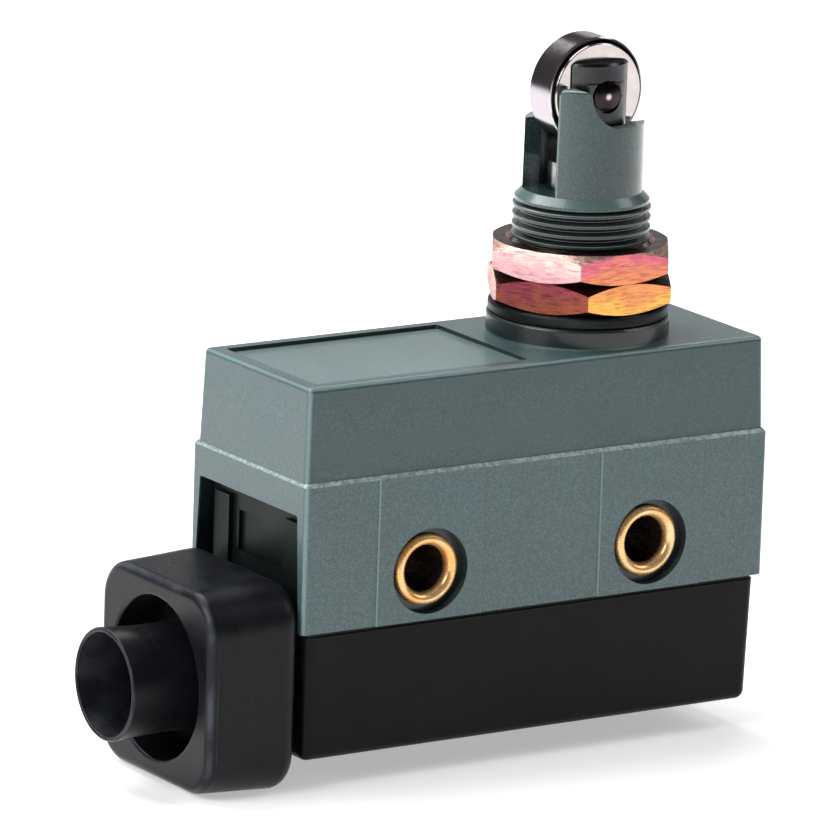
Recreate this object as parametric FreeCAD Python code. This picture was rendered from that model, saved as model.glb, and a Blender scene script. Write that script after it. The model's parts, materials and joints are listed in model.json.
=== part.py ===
import FreeCAD, Part

import math
import os

# Enclosed limit switch with a panel-mount roller plunger. Units are millimetres.
# Origin: midway between the two mounting holes, on the mid-plane of the body.
# +X is the plunger end, -X the cable end, +Z goes up to the roller.

V = FreeCAD.Vector
X_AXIS = V(1, 0, 0)
Y_AXIS = V(0, 1, 0)
Z_AXIS = V(0, 0, 1)
FULL_TURN = 360
DIAGONAL = math.sqrt(0.5)   # the sine and cosine of 45 degrees
CUT_PAST = 1.0      # how far a cutter runs past the face that it opens
PRESS_GAP = 0.02    # radial gap between pieces that are pressed together
PARALLEL = 0.999    # the least cosine between directions that count as the same
IN_PLANE = 0.01     # how far from a plane an edge may lie and still be in it

# ---- driving dimensions -------------------------------------------------------------

HOLE_SPACING = 25.4
HOLE_RADIUS = 2.33
HEAD_X = 10.3

# die-cast housing
BODY_HALF_Y = 10.3
BODY_X = (-26.9, 26.3)
SKIRT_BOTTOM = -4.8
LEDGE_Z = 9.9
TOP_Z = 19.05
UPPER_INSET_X = 0.25
UPPER_INSET_Y = 0.45
DRAFT = 0.27
LEDGE_CHAMFER = 0.35
CORNER_RADIUS = 0.55
TOP_EDGE_RADIUS = 0.5
WALL = 1.6
CEILING_Z = 16.8
INNER_X = (-24.5, 24.2)
BOSS_EDGE_RADIUS = 0.3
POST_WEB_HALF = 1.5
PAD_WIDTH = 12.0
PAD_HEIGHT = 0.15
PAD_TOP = 9.55
PAD_BEVEL = 0.12
LABEL_POCKET_X = (-24.85, -0.7)
LABEL_POCKET_HALF_Y = 8.05
LABEL_POCKET_DEPTH = 0.4
LABEL_POCKET_CORNER = 0.3
NOTCH_TOP = 6.6
NOTCH_HALF_TOP = 8.8
NOTCH_HALF_BOTTOM = 9.5

# mounting eyelets
RECESS_RADIUS = 4.2
RECESS_DEPTH = 1.1
EYELET_TUBE_RADIUS = 2.72
EYELET_FLANGE_RADIUS = 3.55
EYELET_SUNK = 0.45
EYELET_CREST = 0.55
EYELET_FUNNEL = 0.9
QUARTER_STEPS = 6

# threaded head
BOSS_RADIUS = 8.95
BOSS_TOP = 21.1
STUB_RADIUS = 6.2
CREST_RADIUS = 6.75
ROOT_RADIUS = 6.15
PITCH = 1.0
CREST_FLAT = 0.24
FLANK_ANGLE = 30
TOP_CREST_Z = 31.7
CREST_COUNT = 11
RING_RADIUS = 6.58
RING_Z = (32.25, 32.55)
FORK_FLOOR = 33.3
FORK_RADIUS_BOTTOM = 5.85
FORK_RADIUS_TOP = 5.75
FORK_TOP = 43.9
FORK_BORE = 4.25
FORK_SLOT_HALF = 2.85
SCOOP_RADIUS = 3.2
SCOOP_X = 0.57
SCOOP_Z = 43.32
TAB_CORNER = 0.8
TAB_END_X = -4.85
TAB_END_CORNER = 0.5
CHAMBER_RADIUS = 5.2
CHAMBER_TOP = 29.2
TAB_RIM_RADIUS = 0.25
SEAL_GROOVE_RADIUS = 4.7
SEAL_GROOVE_Z = (30.2, 31.8)
SEAL_WIPE_GAP = 0.05
SEAL_LIP_STEP = 0.5
SNAP_RING_RADIUS = 5.6
SNAP_RING_Z = (17.1, 17.7)
SNAP_RING_WIDTH = 1.1
SNAP_RING_GAP = 2.0
RETAINER_THICKNESS = 0.8
RETAINER_GAP = 0.3

# plunger and roller
SHAFT_RADIUS = 3.5
SHAFT_CLEARANCE = 0.08
SHAFT_BOTTOM = 19.0
EAR_RADIUS = 3.95
EAR_FOOT = 38.45
EAR_TOP = 46.2
ROLLER_Z = 43.0
ROLLER_RADIUS = 5.47
ROLLER_RIM_HALF = 1.7
ROLLER_FACE_HALF = 2.12
ROLLER_FACE_RADIUS = 4.88
CLEVIS_HALF = 2.26
CLEVIS_FLOOR = 36.1
AXLE_RADIUS = 1.48
AXLE_HALF = 3.97
PLUNGER_BORE = 2.2
PLUNGER_BORE_TOP = 33.0
CLEVIS_REACH = 5.0
EAR_BEVEL = 0.25
EAR_GROOVE_DEPTH = 0.3
EAR_GROOVE_Z = (42.9, 44.3)
PIN_RIM_WIDTH = 0.16
PIN_RIM_DEPTH = 0.45
PIN_DOME_RADIUS = 4.2
ROLLER_BORE_GAP = 0.05
ROLLER_BEVEL = 0.12
ROLLER_STEP = 0.08
ROLLER_BORE_BEVEL = 0.2
STOP_RING_Z = (28.0, 29.0)
STOP_GROOVE_DEPTH = 0.5
STOP_RING_GAP = 0.2
COIL_SECTIONS = 12
RETURN_COIL = (4.3, 0.4, 5)
OVERTRAVEL_COIL = (1.75, 0.3, 9)
ROD_HEAD_Z = (19.9, 21.4)
ROD_RADIUS = 1.5
ROD_HEAD_RADIUS = 2.13
ROD_TIP_RADIUS = 0.9
ROD_TIP_HEIGHT = 0.6
ROD_GUIDE_GAP = 0.06
ROD_GUIDE_HEIGHT = 0.8

# lock nuts and washer
NUT_FLATS = 17.0
NUT_HEIGHT = 2.98
LOWER_NUT_Z = 22.4
UPPER_NUT_Z = 25.4
LOWER_NUT_ANGLE = 1.5
UPPER_NUT_ANGLE = -3.3
NUT_BORE = CREST_RADIUS + 0.08
NUT_SIDES = 6
NUT_CHAMFER_ANGLE = 30
NUT_CHAMFER_REACH = 0.5
NUT_MOUTH = 0.45
WASHER_RADIUS = 8.8
WASHER_Z = (21.1, 22.3)
WASHER_GAP = 0.1
WASHER_EDGE_RADIUS = 0.35

# bottom cover and gasket
GASKET_THICKNESS = 0.5
COVER_TOP = SKIRT_BOTTOM - GASKET_THICKNESS
COVER_BOTTOM = -17.6
COVER_X_TOP = (-26.2, 25.85)
COVER_X_BOTTOM = (-26.0, 25.55)
COVER_HALF_Y_TOP = 9.85
COVER_HALF_Y_BOTTOM = 9.6
COVER_FLOOR = -15.4
COVER_INNER_HALF_Y = 8.1
END_WALL_X = (-25.4, -24.4)
END_WALL_TOP = 6.3
END_WALL_HALF_Y = 8.55
SCREW_X = 22.15
SCREW_Y = 6.45
SCREW_SHANK = 1.2
SCREW_HEAD = 2.2
SCREW_HEAD_HEIGHT = 1.4
SCREW_SEAT_Z = COVER_BOTTOM + 1.7
SCREW_END_Z = 3.8
SCREW_HOLE_END_Z = 4.2
SCREW_GAP = 0.1
SCREW_EDGE_RADIUS = 0.35
SCREW_POST_WALL = 0.4
RECESS_ARM_HALF = 0.3
COVER_RECESS_REACH = 1.2
COVER_RECESS_DEPTH = 0.8
COVER_CORNER = 1.0
COVER_EDGE_RADIUS = 0.95
COVER_INNER_CORNER = 0.8
WALL_FOOT = 2.0
RIB_Y = (5.0, 7.6)
RIB_DEPTH = 0.5
RIB_DROP = 0.9
PANEL_HALF_Y = 3.9
PANEL_Z = (0.2, 4.2)
PANEL_DEPTH = 0.35
GASKET_INSET_X = 0.3
GASKET_INSET_Y = 0.2
GASKET_CORNER = 0.4

# cable entry
CABLE_Z = -10.2
CABLE_RADIUS = 3.0
BOOT_X = (-36.9, -27.0)
BOOT_HALF_FRONT = (10.1, 9.85)
BOOT_HALF_REAR = (10.45, 10.3)
BOOT_CORNER = 4.0
BOOT_RECESS_RADIUS = 7.95
BOOT_RECESS_FLOOR = -32.0
MOUTH_X = -42.5
MOUTH_RADIUS = 5.5
NOZZLE_NECK = 4.6
NOZZLE_TAIL_RADIUS = 4.0
NOZZLE_FLANGE_RADIUS = 4.2
NOZZLE_FLANGE = 0.6
BOOT_EDGE_FRONT = 0.9
BOOT_EDGE_REAR = 1.6
BOOT_MOUTH_EDGE = 0.3
SPIGOT_HALF_Y = 7.5
SPIGOT_Z = (-15.7, -5.8)
MOUTH_LIP = 0.25
MOUTH_WAIST = 0.26
MOUTH_WAIST_AT = 4.2
FUNNEL_DEPTH = 7.0
FUNNEL_BOW = 0.15
TAIL_GAP = 0.05
TAIL_BORE = 3.3
TAIL_BORE_X = -27.0

# built-in snap switch
SWITCH_X = (-19.3, 19.4)
SWITCH_HALF_Y = 7.9
SWITCH_Z = (-9.8, 13.6)
SWITCH_SPLIT = 3.6
SWITCH_WALL = 1.8
SWITCH_CORNER = 0.8
EYELET_PASS_GAP = 0.2
BUTTON_RADIUS = 1.4
BUTTON_TOP = 15.9
BUTTON_COLLAR = 0.9
BUTTON_COLLAR_Z = (10.8, 11.6)
BUTTON_TIP_RADIUS = 0.7
BUTTON_TIP_HEIGHT = 0.4
BUTTON_BEVEL = 0.5
BUTTON_GAP = 0.06
BUTTON_LIFT = 0.1
BLADE_X = (-8.0, 17.4)
BLADE_Z = (9.2, 9.6)
BLADE_HALF_Y = 2.5
BLADE_WINDOW_X = (-3.0, 5.9)
BLADE_WINDOW_HALF = 1.2
CONTACT_X = -6.0
CONTACT_RADIUS = 1.1
CONTACT_HEIGHT = 0.6
CONTACT_BEVEL = 0.2
TERMINAL_X = {"common": 16.9, "normally_open": 0.0, "normally_closed": -17.4}
TERMINAL_BOTTOM = -12.4
TERMINAL_SCREW_OFFSET = 1.75
CLOSED_STRAP_Z = (10.9, 11.7)
OPEN_STRAP_Z = (5.0, 5.8)
LEG_HALF = 0.5
STRAP_HALF_Y = 2.5
STRAP_END = 2.0
SLOT_GAP = 0.02
FOOT_THICKNESS = 1.0
FOOT_HALF_X = 3.0
FOOT_OVERHANG = 0.5
BLADE_GRIP_X = (0.3, 0.85)
BLADE_GRIP_BOTTOM = 7.6
BLADE_GRIP_RISE = 0.6
BLADE_GRIP_DROP = 0.8
CLAMP_HALF = (1.6, 2.4)
CLAMP_THICKNESS = 0.6
CLAMP_HOLE = 1.1
TERMINAL_SHANK = 1.0
TERMINAL_HEAD = 1.5
TERMINAL_HEAD_HEIGHT = 1.1
TERMINAL_RECESS_REACH = 0.9
TERMINAL_RECESS_DEPTH = 0.6
BASE_RELIEF_HALF = (7.0, 6.0)
BASE_RELIEF_DEPTH = 2.4


# ---- small shape helpers ------------------------------------------------------------

def box(x, y, z):
    """A box between three (low, high) pairs."""
    return Part.makeBox(x[1] - x[0], y[1] - y[0], z[1] - z[0], V(x[0], y[0], z[0]))


def half(value):
    """The (low, high) pair centred on zero."""
    return (-value, value)


def cylinder_x(radius, x, z=CABLE_Z):
    """A cylinder along X, on the cable's axis unless z says otherwise."""
    return Part.makeCylinder(radius, x[1] - x[0], V(x[0], 0, z), X_AXIS)


def cylinder_y(radius, y, x, z=0.0):
    """A cylinder along Y through (x, z)."""
    return Part.makeCylinder(radius, y[1] - y[0], V(x, y[0], z), Y_AXIS)


def cylinder_z(radius, z, x=HEAD_X, y=0.0):
    """An upright cylinder, on the head's axis unless x and y say otherwise."""
    return Part.makeCylinder(radius, z[1] - z[0], V(x, y, z[0]), Z_AXIS)


def ring_z(outer, inner, z):
    """A flat ring on the head's axis."""
    return cylinder_z(outer, z).cut(cylinder_z(inner, z))


def revolve(points, base, axis):
    """Turn a closed outline of points about an axis through base."""
    outline = Part.makePolygon(points + points[:1])
    return Part.Face(outline).revolve(base, axis, FULL_TURN)


def revolve_head(profile):
    """Turn (radius, z) points about the head's axis."""
    points = [V(HEAD_X + radius, 0, z) for radius, z in profile]
    return revolve(points, V(HEAD_X, 0, 0), Z_AXIS)


def edges_along(shape, axis):
    """The straight edges that run along an axis."""
    found = []
    for edge in shape.Edges:
        if isinstance(edge.Curve, Part.Line):
            direction = edge.tangentAt(edge.FirstParameter)
            if abs(direction.dot(axis)) > PARALLEL:
                found.append(edge)
    return found


def edges_at_z(shape, z):
    """The edges that lie in the plane at height z."""
    found = []
    for edge in shape.Edges:
        bounds = edge.BoundBox
        if abs(bounds.ZMin - z) < IN_PLANE and abs(bounds.ZMax - z) < IN_PLANE:
            found.append(edge)
    return found


def edges_at_x(shape, x):
    """The edges that lie in the plane at x."""
    found = []
    for edge in shape.Edges:
        bounds = edge.BoundBox
        if abs(bounds.XMin - x) < IN_PLANE and abs(bounds.XMax - x) < IN_PLANE:
            found.append(edge)
    return found


def rounded_block(x, y, z, radius):
    """A box whose upright edges are rounded."""
    block = box(x, y, z)
    return block.makeFillet(radius, edges_along(block, Z_AXIS))


def rounded_outline(x, y, z, radius):
    """The outline of a rounded rectangle at height z."""
    block = rounded_block(x, y, (z, z + CUT_PAST), radius)
    return Part.Wire(Part.__sortEdges__(edges_at_z(block, z)))


def tapered_block(low, high, radius):
    """A block lofted between two (x, y, z) rounded rectangles."""
    wires = [rounded_outline(x, y, z, radius) for x, y, z in (low, high)]
    return Part.makeLoft(wires, True, True)


def sided(side, near, far):
    """The (low, high) pair from near to far on the + or - side of zero."""
    return sorted((side * near, side * far))


def helical_spring(coil_size, z):
    """A round-wire coil spring on the head's axis whose outside spans the z pair."""
    radius, wire, turns = coil_size
    rise = z[1] - z[0] - 2 * wire
    steps = turns * COIL_SECTIONS
    sections = []
    for step in range(steps + 1):
        turn = math.radians(FULL_TURN * step / COIL_SECTIONS)
        outward = V(math.cos(turn), math.sin(turn), 0)
        centre = V(HEAD_X, 0, z[0] + wire + rise * step / steps) + outward * radius
        sections.append(Part.Wire(Part.makeCircle(wire, centre, Z_AXIS.cross(outward))))
    return Part.makeLoft(sections, True, True)


def fuse_all(shapes):
    """One shape from a list of shapes that touch or overlap."""
    return shapes[0].multiFuse(shapes[1:]).removeSplitter()


def hole_positions():
    """The x of each mounting hole."""
    return (-HOLE_SPACING / 2, HOLE_SPACING / 2)


def screw_positions():
    """The (x, y) of each cover screw."""
    return [(x, y) for x in half(SCREW_X) for y in half(SCREW_Y)]


# ---- housing ------------------------------------------------------------------------

def housing_outside():
    """The stepped casting with its boss and the raised pads round the holes."""
    skirt = rounded_block(BODY_X, half(BODY_HALF_Y), (SKIRT_BOTTOM, LEDGE_Z), CORNER_RADIUS)
    skirt = skirt.makeChamfer(LEDGE_CHAMFER, edges_at_z(skirt, LEDGE_Z))
    low_x = (BODY_X[0] + UPPER_INSET_X, BODY_X[1] - UPPER_INSET_X)
    high_x = (low_x[0] + DRAFT, low_x[1] - DRAFT)
    low_y = BODY_HALF_Y - UPPER_INSET_Y
    low = (low_x, half(low_y), LEDGE_Z - LEDGE_CHAMFER)
    high = (high_x, half(low_y - DRAFT), TOP_Z)
    upper = tapered_block(low, high, CORNER_RADIUS)
    upper = upper.makeFillet(TOP_EDGE_RADIUS, edges_at_z(upper, TOP_Z))
    boss = cylinder_z(BOSS_RADIUS, (TOP_Z - CUT_PAST, BOSS_TOP))
    boss = boss.makeFillet(BOSS_EDGE_RADIUS, edges_at_z(boss, BOSS_TOP))
    parts = [skirt, upper, boss]
    for x in hole_positions():
        pad_x = (x - PAD_WIDTH / 2, x + PAD_WIDTH / 2)
        pad = box(pad_x, half(BODY_HALF_Y + PAD_HEIGHT), (SKIRT_BOTTOM, PAD_TOP))
        parts.append(pad.makeChamfer(PAD_BEVEL, edges_along(pad, Z_AXIS)))
    return fuse_all(parts)


def notch():
    """The opening in the cable end, wider at its mouth."""
    outline = [
        V(0, -NOTCH_HALF_TOP, NOTCH_TOP),
        V(0, NOTCH_HALF_TOP, NOTCH_TOP),
        V(0, NOTCH_HALF_BOTTOM, SKIRT_BOTTOM - CUT_PAST),
        V(0, -NOTCH_HALF_BOTTOM, SKIRT_BOTTOM - CUT_PAST),
    ]
    face = Part.Face(Part.makePolygon(outline + outline[:1]))
    depth = INNER_X[0] - BODY_X[0] + 2 * CUT_PAST
    cutter = face.extrude(V(depth, 0, 0))
    cutter.translate(V(BODY_X[0] - CUT_PAST, 0, 0))
    return cutter.makeFillet(CORNER_RADIUS / 2, edges_along(cutter, X_AXIS))


def screw_posts(inner_y):
    """The posts the cover screws bite into, each webbed to the nearer side wall."""
    posts = []
    for x, y in screw_positions():
        wall_y = math.copysign(inner_y + WALL / 2, y)
        web_x = (x - POST_WEB_HALF, x + POST_WEB_HALF)
        posts.append(cylinder_z(SCREW_HEAD, (SKIRT_BOTTOM, CEILING_Z), x, y))
        posts.append(box(web_x, sorted((y, wall_y)), (SKIRT_BOTTOM, CEILING_Z)))
    return posts


def eyelet_seats():
    """The through holes for the eyelets and the round recesses at both faces."""
    face_y = BODY_HALF_Y + PAD_HEIGHT
    cutters = []
    for x in hole_positions():
        cutters.append(cylinder_y(EYELET_TUBE_RADIUS + PRESS_GAP, half(face_y + CUT_PAST), x))
        for side in (-1, 1):
            recess_y = sided(side, face_y - RECESS_DEPTH, face_y + CUT_PAST)
            cutters.append(cylinder_y(RECESS_RADIUS, recess_y, x))
    return cutters


def housing():
    """The die-cast housing, open at its bottom and notched at its cable end."""
    inner_y = BODY_HALF_Y - WALL
    cavity_z = (SKIRT_BOTTOM - CUT_PAST, CEILING_Z)
    shape = housing_outside().cut(rounded_block(INNER_X, half(inner_y), cavity_z, CORNER_RADIUS))
    shape = shape.multiFuse(screw_posts(inner_y))
    head_z = (CEILING_Z - CUT_PAST, BOSS_TOP + CUT_PAST)
    pocket_z = (TOP_Z - LABEL_POCKET_DEPTH, TOP_Z + CUT_PAST)
    pocket_y = half(LABEL_POCKET_HALF_Y)
    cutters = [
        notch(),
        cylinder_z(STUB_RADIUS + PRESS_GAP, head_z),
        rounded_block(LABEL_POCKET_X, pocket_y, pocket_z, LABEL_POCKET_CORNER),
    ]
    cutters += eyelet_seats()
    for x, y in screw_positions():
        hole_z = (SKIRT_BOTTOM - CUT_PAST, SCREW_HOLE_END_Z)
        cutters.append(cylinder_z(SCREW_SHANK + PRESS_GAP, hole_z, x, y))
    return shape.cut(fuse_all(cutters)).removeSplitter()


def quarter_arc(upright_end, level_end):
    """A quarter ellipse in the XY plane, upright (along Y) at one end and level at the other."""
    centre = V(level_end.x, upright_end.y, 0)
    wide = abs(upright_end.x - centre.x)
    high = abs(level_end.y - centre.y)
    points = []
    for step in range(QUARTER_STEPS + 1):
        turn = math.pi / 2 * step / QUARTER_STEPS
        across = math.copysign(wide * math.cos(turn), upright_end.x - centre.x)
        points.append(V(centre.x + across, centre.y + high * math.sin(turn), 0))
    curve = Part.BSplineCurve()
    curve.interpolate(points)
    return curve.toShape()


def mounting_eyelet(x):
    """A brass tube with a rolled funnel lip at both faces of the housing."""
    face_y = BODY_HALF_Y + PAD_HEIGHT - EYELET_SUNK
    seat_y = BODY_HALF_Y + PAD_HEIGHT - RECESS_DEPTH
    crest = EYELET_FLANGE_RADIUS - EYELET_CREST
    bore_end = V(x + HOLE_RADIUS, face_y - EYELET_FUNNEL, 0)
    crest_point = V(x + crest, face_y, 0)
    flange_edge = V(x + EYELET_FLANGE_RADIUS, face_y - EYELET_CREST, 0)
    corners = [
        flange_edge,
        V(x + EYELET_FLANGE_RADIUS, seat_y, 0),
        V(x + EYELET_TUBE_RADIUS, seat_y, 0),
        V(x + EYELET_TUBE_RADIUS, 0, 0),
        V(x + HOLE_RADIUS, 0, 0),
        bore_end,
    ]
    edges = [quarter_arc(bore_end, crest_point), quarter_arc(flange_edge, crest_point)]
    for start, end in zip(corners, corners[1:]):
        edges.append(Part.makeLine(start, end))
    outline = Part.Wire(Part.__sortEdges__(edges))
    side = Part.Face(outline).revolve(V(x, 0, 0), Y_AXIS, FULL_TURN)
    other = side.mirror(V(0, 0, 0), Y_AXIS)
    return side.fuse(other).removeSplitter()


# ---- threaded head ------------------------------------------------------------------

def thread_profile():
    """The outside of the thread from its bottom to its top, as grooves of even pitch."""
    depth = CREST_RADIUS - ROOT_RADIUS
    flank = depth * math.tan(math.radians(FLANK_ANGLE))
    profile = []
    for turn in range(CREST_COUNT):
        z = TOP_CREST_Z - (CREST_COUNT - 1 - turn) * PITCH
        profile.append((ROOT_RADIUS, z - CREST_FLAT / 2 - flank))
        profile.append((CREST_RADIUS, z - CREST_FLAT / 2))
        profile.append((CREST_RADIUS, z + CREST_FLAT / 2))
        profile.append((ROOT_RADIUS, z + CREST_FLAT / 2 + flank))
    return profile


def scoop_point(z):
    """The point of the scoop's left flank at height z."""
    return V(SCOOP_X - math.sqrt(SCOOP_RADIUS ** 2 - (z - SCOOP_Z) ** 2), 0, z)


def shield_outline():
    """The side view of one guard wall: a high tab, a round scoop and a low end."""
    reach = FORK_RADIUS_BOTTOM + CUT_PAST
    low_z = SCOOP_Z - SCOOP_RADIUS
    bend = 1 - DIAGONAL
    flank = scoop_point(FORK_TOP - TAB_CORNER)
    tab_right = V(flank.x - TAB_CORNER, 0, FORK_TOP)
    right_bend = V(flank.x - TAB_CORNER * bend, 0, FORK_TOP - TAB_CORNER * bend)
    tab_left = V(TAB_END_X + TAB_END_CORNER, 0, FORK_TOP)
    left_bend = V(TAB_END_X + TAB_END_CORNER * bend, 0, FORK_TOP - TAB_END_CORNER * bend)
    tab_foot = V(TAB_END_X, 0, FORK_TOP - TAB_END_CORNER)
    scoop_mid = scoop_point(SCOOP_Z - SCOOP_RADIUS * DIAGONAL)
    scoop_low = V(SCOOP_X, 0, low_z)
    rest = [scoop_low, V(reach, 0, low_z), V(reach, 0, FORK_FLOOR), V(-reach, 0, FORK_FLOOR)]
    rest += [V(-reach, 0, tab_foot.z), tab_foot]
    edges = [
        Part.Arc(tab_foot, left_bend, tab_left).toShape(),
        Part.makeLine(tab_left, tab_right),
        Part.Arc(tab_right, right_bend, flank).toShape(),
        Part.Arc(flank, scoop_mid, scoop_low).toShape(),
    ]
    for start, end in zip(rest, rest[1:]):
        edges.append(Part.makeLine(start, end))
    return Part.Face(Part.Wire(edges))


def guard_shield():
    """The guard wall on the -Y side of the roller; the other wall is its half turn."""
    reach = FORK_RADIUS_BOTTOM + CUT_PAST
    root_z = FORK_FLOOR - CUT_PAST / 2
    wall = shield_outline().extrude(V(0, -reach, 0))
    wall.translate(V(HEAD_X, 0, 0))
    tube = revolve_head([
        (FORK_BORE, root_z),
        (FORK_RADIUS_BOTTOM, root_z),
        (FORK_RADIUS_TOP, FORK_TOP),
        (FORK_BORE, FORK_TOP),
    ])
    tube = tube.makeFillet(TAB_RIM_RADIUS, edges_at_z(tube, FORK_TOP)[:1])
    slot = box((HEAD_X - reach, HEAD_X + reach), (-FORK_SLOT_HALF, reach), (FORK_FLOOR, FORK_TOP))
    return wall.common(tube).cut(slot)


def threaded_head():
    """The threaded bush with the roller's two guard walls on top."""
    bore = SHAFT_RADIUS + SHAFT_CLEARANCE
    profile = [(STUB_RADIUS, CEILING_Z), (STUB_RADIUS, BOSS_TOP)]
    profile += thread_profile()
    profile += [
        (RING_RADIUS, RING_Z[0]),
        (RING_RADIUS, RING_Z[1]),
        (FORK_RADIUS_BOTTOM, FORK_FLOOR),
        (bore, FORK_FLOOR),
        (bore, CHAMBER_TOP),
        (CHAMBER_RADIUS, CHAMBER_TOP),
        (CHAMBER_RADIUS, CEILING_Z),
    ]
    bush = revolve_head(profile)
    bush = bush.cut(cylinder_z(SEAL_GROOVE_RADIUS, SEAL_GROOVE_Z))
    bush = bush.cut(cylinder_z(SNAP_RING_RADIUS + PRESS_GAP, SNAP_RING_Z))
    front = guard_shield()
    back = front.copy()
    back.rotate(V(HEAD_X, 0, 0), Z_AXIS, FULL_TURN / 2)
    return bush.multiFuse([front, back]).removeSplitter()


def plunger_seal():
    """The rubber lip ring that wipes the plunger."""
    outer = SEAL_GROOVE_RADIUS - PRESS_GAP
    inner = SHAFT_RADIUS + SEAL_WIPE_GAP
    low, high = SEAL_GROOVE_Z
    return revolve_head([
        (outer, low),
        (outer, high),
        (inner + SEAL_LIP_STEP / 2, high),
        (inner, high - SEAL_LIP_STEP),
        (inner, low + SEAL_LIP_STEP),
        (inner + SEAL_LIP_STEP / 2, low),
    ])


def spring_retainer():
    """The washer above the retaining ring that the return spring stands on."""
    z = (SNAP_RING_Z[1], SNAP_RING_Z[1] + RETAINER_THICKNESS)
    return ring_z(CHAMBER_RADIUS - PRESS_GAP, SHAFT_RADIUS + RETAINER_GAP, z)


def retaining_ring():
    """A split ring in the bush's lower groove."""
    ring = ring_z(SNAP_RING_RADIUS, SNAP_RING_RADIUS - SNAP_RING_WIDTH, SNAP_RING_Z)
    gap_x = (HEAD_X + SHAFT_RADIUS, HEAD_X + SNAP_RING_RADIUS + CUT_PAST)
    return ring.cut(box(gap_x, half(SNAP_RING_GAP / 2), SNAP_RING_Z))


def panel_seal_washer():
    """The rubber washer between the boss and the panel, rounded at its rim."""
    disc = cylinder_z(WASHER_RADIUS, WASHER_Z)
    rims = edges_at_z(disc, WASHER_Z[0]) + edges_at_z(disc, WASHER_Z[1])
    disc = disc.makeFillet(WASHER_EDGE_RADIUS, rims)
    return disc.cut(cylinder_z(CREST_RADIUS + WASHER_GAP, WASHER_Z))


def lock_nut(z, angle):
    """A thin hexagon nut, chamfered on both faces and at both ends of its bore."""
    flat = NUT_FLATS / 2
    corner = flat / math.cos(math.pi / NUT_SIDES)
    corners = []
    for index in range(NUT_SIDES):
        turn = math.radians(angle + FULL_TURN / NUT_SIDES * index)
        corners.append(V(HEAD_X + corner * math.cos(turn), corner * math.sin(turn), z))
    blank = Part.Face(Part.makePolygon(corners + corners[:1])).extrude(V(0, 0, NUT_HEIGHT))
    outer = corner + NUT_CHAMFER_REACH
    drop = (outer - flat) * math.tan(math.radians(NUT_CHAMFER_ANGLE))
    turned = revolve_head([
        (NUT_BORE + NUT_MOUTH, z),
        (flat, z),
        (outer, z + drop),
        (outer, z + NUT_HEIGHT - drop),
        (flat, z + NUT_HEIGHT),
        (NUT_BORE + NUT_MOUTH, z + NUT_HEIGHT),
        (NUT_BORE, z + NUT_HEIGHT - NUT_MOUTH),
        (NUT_BORE, z + NUT_MOUTH),
    ])
    return blank.common(turned)


# ---- plunger, roller and springs ----------------------------------------------------

def plunger():
    """The round shaft, hollow below, wider and forked at its top for the roller."""
    shaft = revolve_head([
        (PLUNGER_BORE, SHAFT_BOTTOM),
        (SHAFT_RADIUS, SHAFT_BOTTOM),
        (SHAFT_RADIUS, EAR_FOOT),
        (EAR_RADIUS, EAR_FOOT + EAR_RADIUS - SHAFT_RADIUS),
        (EAR_RADIUS, EAR_TOP - EAR_BEVEL),
        (EAR_RADIUS - EAR_BEVEL, EAR_TOP),
        (0.0, EAR_TOP),
        (0.0, PLUNGER_BORE_TOP),
        (PLUNGER_BORE, PLUNGER_BORE_TOP),
    ])
    clevis_x = (HEAD_X - CLEVIS_REACH, HEAD_X + CLEVIS_REACH)
    past = EAR_RADIUS + CUT_PAST
    cutters = [
        box(clevis_x, half(CLEVIS_HALF), (CLEVIS_FLOOR, EAR_TOP + CUT_PAST)),
        ring_z(past, SHAFT_RADIUS - STOP_GROOVE_DEPTH, STOP_RING_Z),
        cylinder_y(AXLE_RADIUS + PRESS_GAP / 2, half(past), HEAD_X, ROLLER_Z),
    ]
    for side in (-1, 1):
        groove_y = sided(side, EAR_RADIUS - EAR_GROOVE_DEPTH, past)
        rim_y = sided(side, EAR_RADIUS - PIN_RIM_DEPTH, past)
        cutters.append(box(clevis_x, groove_y, EAR_GROOVE_Z))
        cutters.append(cylinder_y(AXLE_RADIUS + PIN_RIM_WIDTH, rim_y, HEAD_X, ROLLER_Z))
    return shaft.cut(fuse_all(cutters))


def roller_axle():
    """The roller's pin with a domed head at each end."""
    pin = cylinder_y(AXLE_RADIUS, half(AXLE_HALF), HEAD_X, ROLLER_Z)
    for side in (-1, 1):
        centre = V(HEAD_X, side * (AXLE_HALF - PIN_DOME_RADIUS), ROLLER_Z)
        pin = pin.common(Part.makeSphere(PIN_DOME_RADIUS, centre))
    return pin


def roller():
    """A steel roller with a raised flat face and a stepped bevel on both sides."""
    bore = AXLE_RADIUS + ROLLER_BORE_GAP
    rim = ROLLER_RIM_HALF
    face = ROLLER_FACE_HALF
    side = [
        (ROLLER_RADIUS, rim - ROLLER_BEVEL),
        (ROLLER_RADIUS - ROLLER_BEVEL, rim),
        (ROLLER_FACE_RADIUS + ROLLER_STEP, rim + ROLLER_BEVEL),
        (ROLLER_FACE_RADIUS, face - ROLLER_STEP),
        (ROLLER_FACE_RADIUS - ROLLER_STEP, face),
        (bore + ROLLER_BORE_BEVEL, face),
        (bore, face - ROLLER_BORE_BEVEL),
    ]
    profile = side + [(radius, -y) for radius, y in reversed(side)]
    points = [V(HEAD_X + radius, y, ROLLER_Z) for radius, y in profile]
    return revolve(points, V(HEAD_X, 0, ROLLER_Z), Y_AXIS)


def stop_ring():
    """The ring on the shaft that the return spring pushes up."""
    inner = SHAFT_RADIUS - STOP_GROOVE_DEPTH + PRESS_GAP
    return ring_z(CHAMBER_RADIUS - STOP_RING_GAP, inner, STOP_RING_Z)


def return_spring():
    """The outer spring, from its retainer up to the stop ring."""
    z = (SNAP_RING_Z[1] + RETAINER_THICKNESS, STOP_RING_Z[0])
    return helical_spring(RETURN_COIL, z)


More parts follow.
